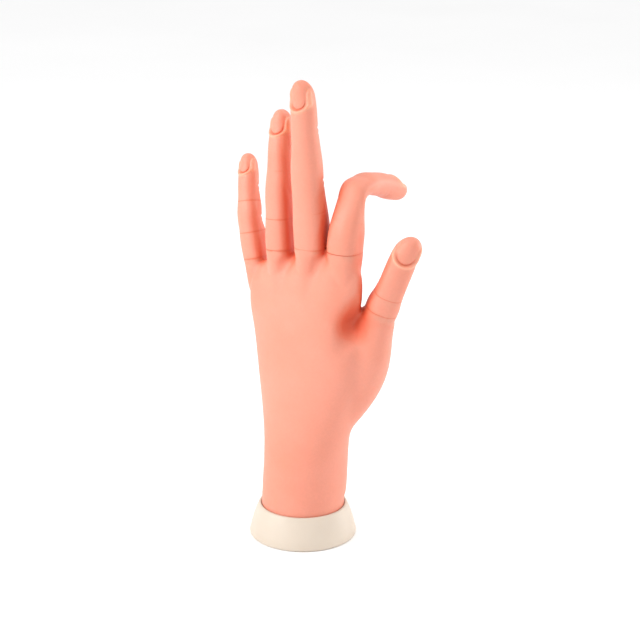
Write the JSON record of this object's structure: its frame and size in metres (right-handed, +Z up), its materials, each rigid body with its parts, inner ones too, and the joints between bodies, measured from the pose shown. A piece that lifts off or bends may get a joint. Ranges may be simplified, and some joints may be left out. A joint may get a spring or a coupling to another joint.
{
  "type": "nail practice hand",
  "caption": "Soft left hand with recessed nail beds, jointed fingers and thumb on an inner skeleton, standing on a round flared base.",
  "frame": {"origin": "centre of the base's underside, on the surface it stands on", "axes": "+Z up along the wrist and the fingers, +Y out of the palm, -Y out of the back of the hand, +X to the thumb side"},
  "size_m": [0.1113, 0.0763, 0.2366],
  "materials": {
    "skin": "soft matt skin-coloured PVC",
    "skeleton": "moulded cream plastic",
    "base": "moulded cream plastic, satin",
    "steel": "plain steel"
  },
  "bodies": {
    "stand": {"base_shell": "base", "palm_frame": "skeleton", "palm_skin": "skin", "base_screw_1": "steel", "base_screw_2": "steel", "base_screw_3": "steel"},
    "index_proximal": {"index_proximal_skin": "skin", "index_proximal_link": "skeleton", "index_proximal_pin": "steel"},
    "index_middle": {"index_middle_skin": "skin", "index_middle_link": "skeleton", "index_middle_pin": "steel"},
    "index_distal": {"index_distal_skin": "skin", "index_distal_link": "skeleton", "index_distal_pin": "steel"},
    "middle_proximal": {"middle_proximal_skin": "skin", "middle_proximal_link": "skeleton", "middle_proximal_pin": "steel"},
    "middle_middle": {"middle_middle_skin": "skin", "middle_middle_link": "skeleton", "middle_middle_pin": "steel"},
    "middle_distal": {"middle_distal_skin": "skin", "middle_distal_link": "skeleton", "middle_distal_pin": "steel"},
    "ring_proximal": {"ring_proximal_skin": "skin", "ring_proximal_link": "skeleton", "ring_proximal_pin": "steel"},
    "ring_middle": {"ring_middle_skin": "skin", "ring_middle_link": "skeleton", "ring_middle_pin": "steel"},
    "ring_distal": {"ring_distal_skin": "skin", "ring_distal_link": "skeleton", "ring_distal_pin": "steel"},
    "little_proximal": {"little_proximal_skin": "skin", "little_proximal_link": "skeleton", "little_proximal_pin": "steel"},
    "little_middle": {"little_middle_skin": "skin", "little_middle_link": "skeleton", "little_middle_pin": "steel"},
    "little_distal": {"little_distal_skin": "skin", "little_distal_link": "skeleton", "little_distal_pin": "steel"},
    "thumb_proximal": {"thumb_proximal_skin": "skin", "thumb_proximal_link": "skeleton", "thumb_proximal_pin": "steel"},
    "thumb_distal": {"thumb_distal_skin": "skin", "thumb_distal_link": "skeleton", "thumb_distal_pin": "steel"}
  },
  "joints": [
    {"name": "index_knuckle", "type": "hinge", "parent": "stand", "child": "index_proximal", "pos_m": [0.0254, 0.001, 0.1585], "axis": [-1, 0, 0], "range_deg": [-28.5, 41.5]},
    {"name": "index_middle_bend", "type": "hinge", "parent": "index_proximal", "child": "index_middle", "pos_m": [0.0254, 0.00915, 0.18287], "axis": [-1, 0, 0], "range_deg": [-74, 21]},
    {"name": "index_end_bend", "type": "hinge", "parent": "index_middle", "child": "index_distal", "pos_m": [0.0254, 0.02914, 0.182], "axis": [-1, 0, 0], "range_deg": [-14.5, 35.5]},
    {"name": "middle_knuckle", "type": "hinge", "parent": "stand", "child": "middle_proximal", "pos_m": [0.007, -0.002, 0.157], "axis": [-0.9997, 0, -0.0262], "range_deg": [-6, 64]},
    {"name": "middle_middle_bend", "type": "hinge", "parent": "middle_proximal", "child": "middle_middle", "pos_m": [0.00622, -0.00409, 0.18692], "axis": [-0.9997, 0, -0.0262], "range_deg": [-1, 94]},
    {"name": "middle_end_bend", "type": "hinge", "parent": "middle_middle", "child": "middle_distal", "pos_m": [0.00554, -0.00545, 0.21287], "axis": [-0.9997, 0, -0.0262], "range_deg": [0, 50]},
    {"name": "ring_knuckle", "type": "hinge", "parent": "stand", "child": "ring_proximal", "pos_m": [-0.0137, -0.001, 0.152], "axis": [-0.9969, 0, -0.0785], "range_deg": [-13, 57]},
    {"name": "ring_middle_bend", "type": "hinge", "parent": "ring_proximal", "child": "ring_middle", "pos_m": [-0.01558, 0.00026, 0.17589], "axis": [-0.9969, 0, -0.0785], "range_deg": [-5, 90]},
    {"name": "ring_end_bend", "type": "hinge", "parent": "ring_middle", "child": "ring_distal", "pos_m": [-0.01729, 0.00332, 0.19761], "axis": [-0.9969, 0, -0.0785], "range_deg": [-3, 47]},
    {"name": "little_knuckle", "type": "hinge", "parent": "stand", "child": "little_proximal", "pos_m": [-0.0364, 0.004, 0.146], "axis": [-0.9703, 0, -0.2419], "range_deg": [-13, 57]},
    {"name": "little_middle_bend", "type": "hinge", "parent": "little_proximal", "child": "little_middle", "pos_m": [-0.0399, 0.00476, 0.16005], "axis": [-0.9703, 0, -0.2419], "range_deg": [-10, 85]},
    {"name": "little_end_bend", "type": "hinge", "parent": "little_middle", "child": "little_distal", "pos_m": [-0.04367, 0.00836, 0.17518], "axis": [-0.9703, 0, -0.2419], "range_deg": [-4, 46]},
    {"name": "thumb_base_bend", "type": "hinge", "parent": "stand", "child": "thumb_proximal", "pos_m": [0.0395, 0.012, 0.1235], "axis": [0.7014, 0.6293, -0.3346], "range_deg": [-25, 15]},
    {"name": "thumb_end_bend", "type": "hinge", "parent": "thumb_proximal", "child": "thumb_distal", "pos_m": [0.04703, 0.012, 0.1393], "axis": [0.7014, 0.6293, -0.3346], "range_deg": [-42, 16]}
  ]
}
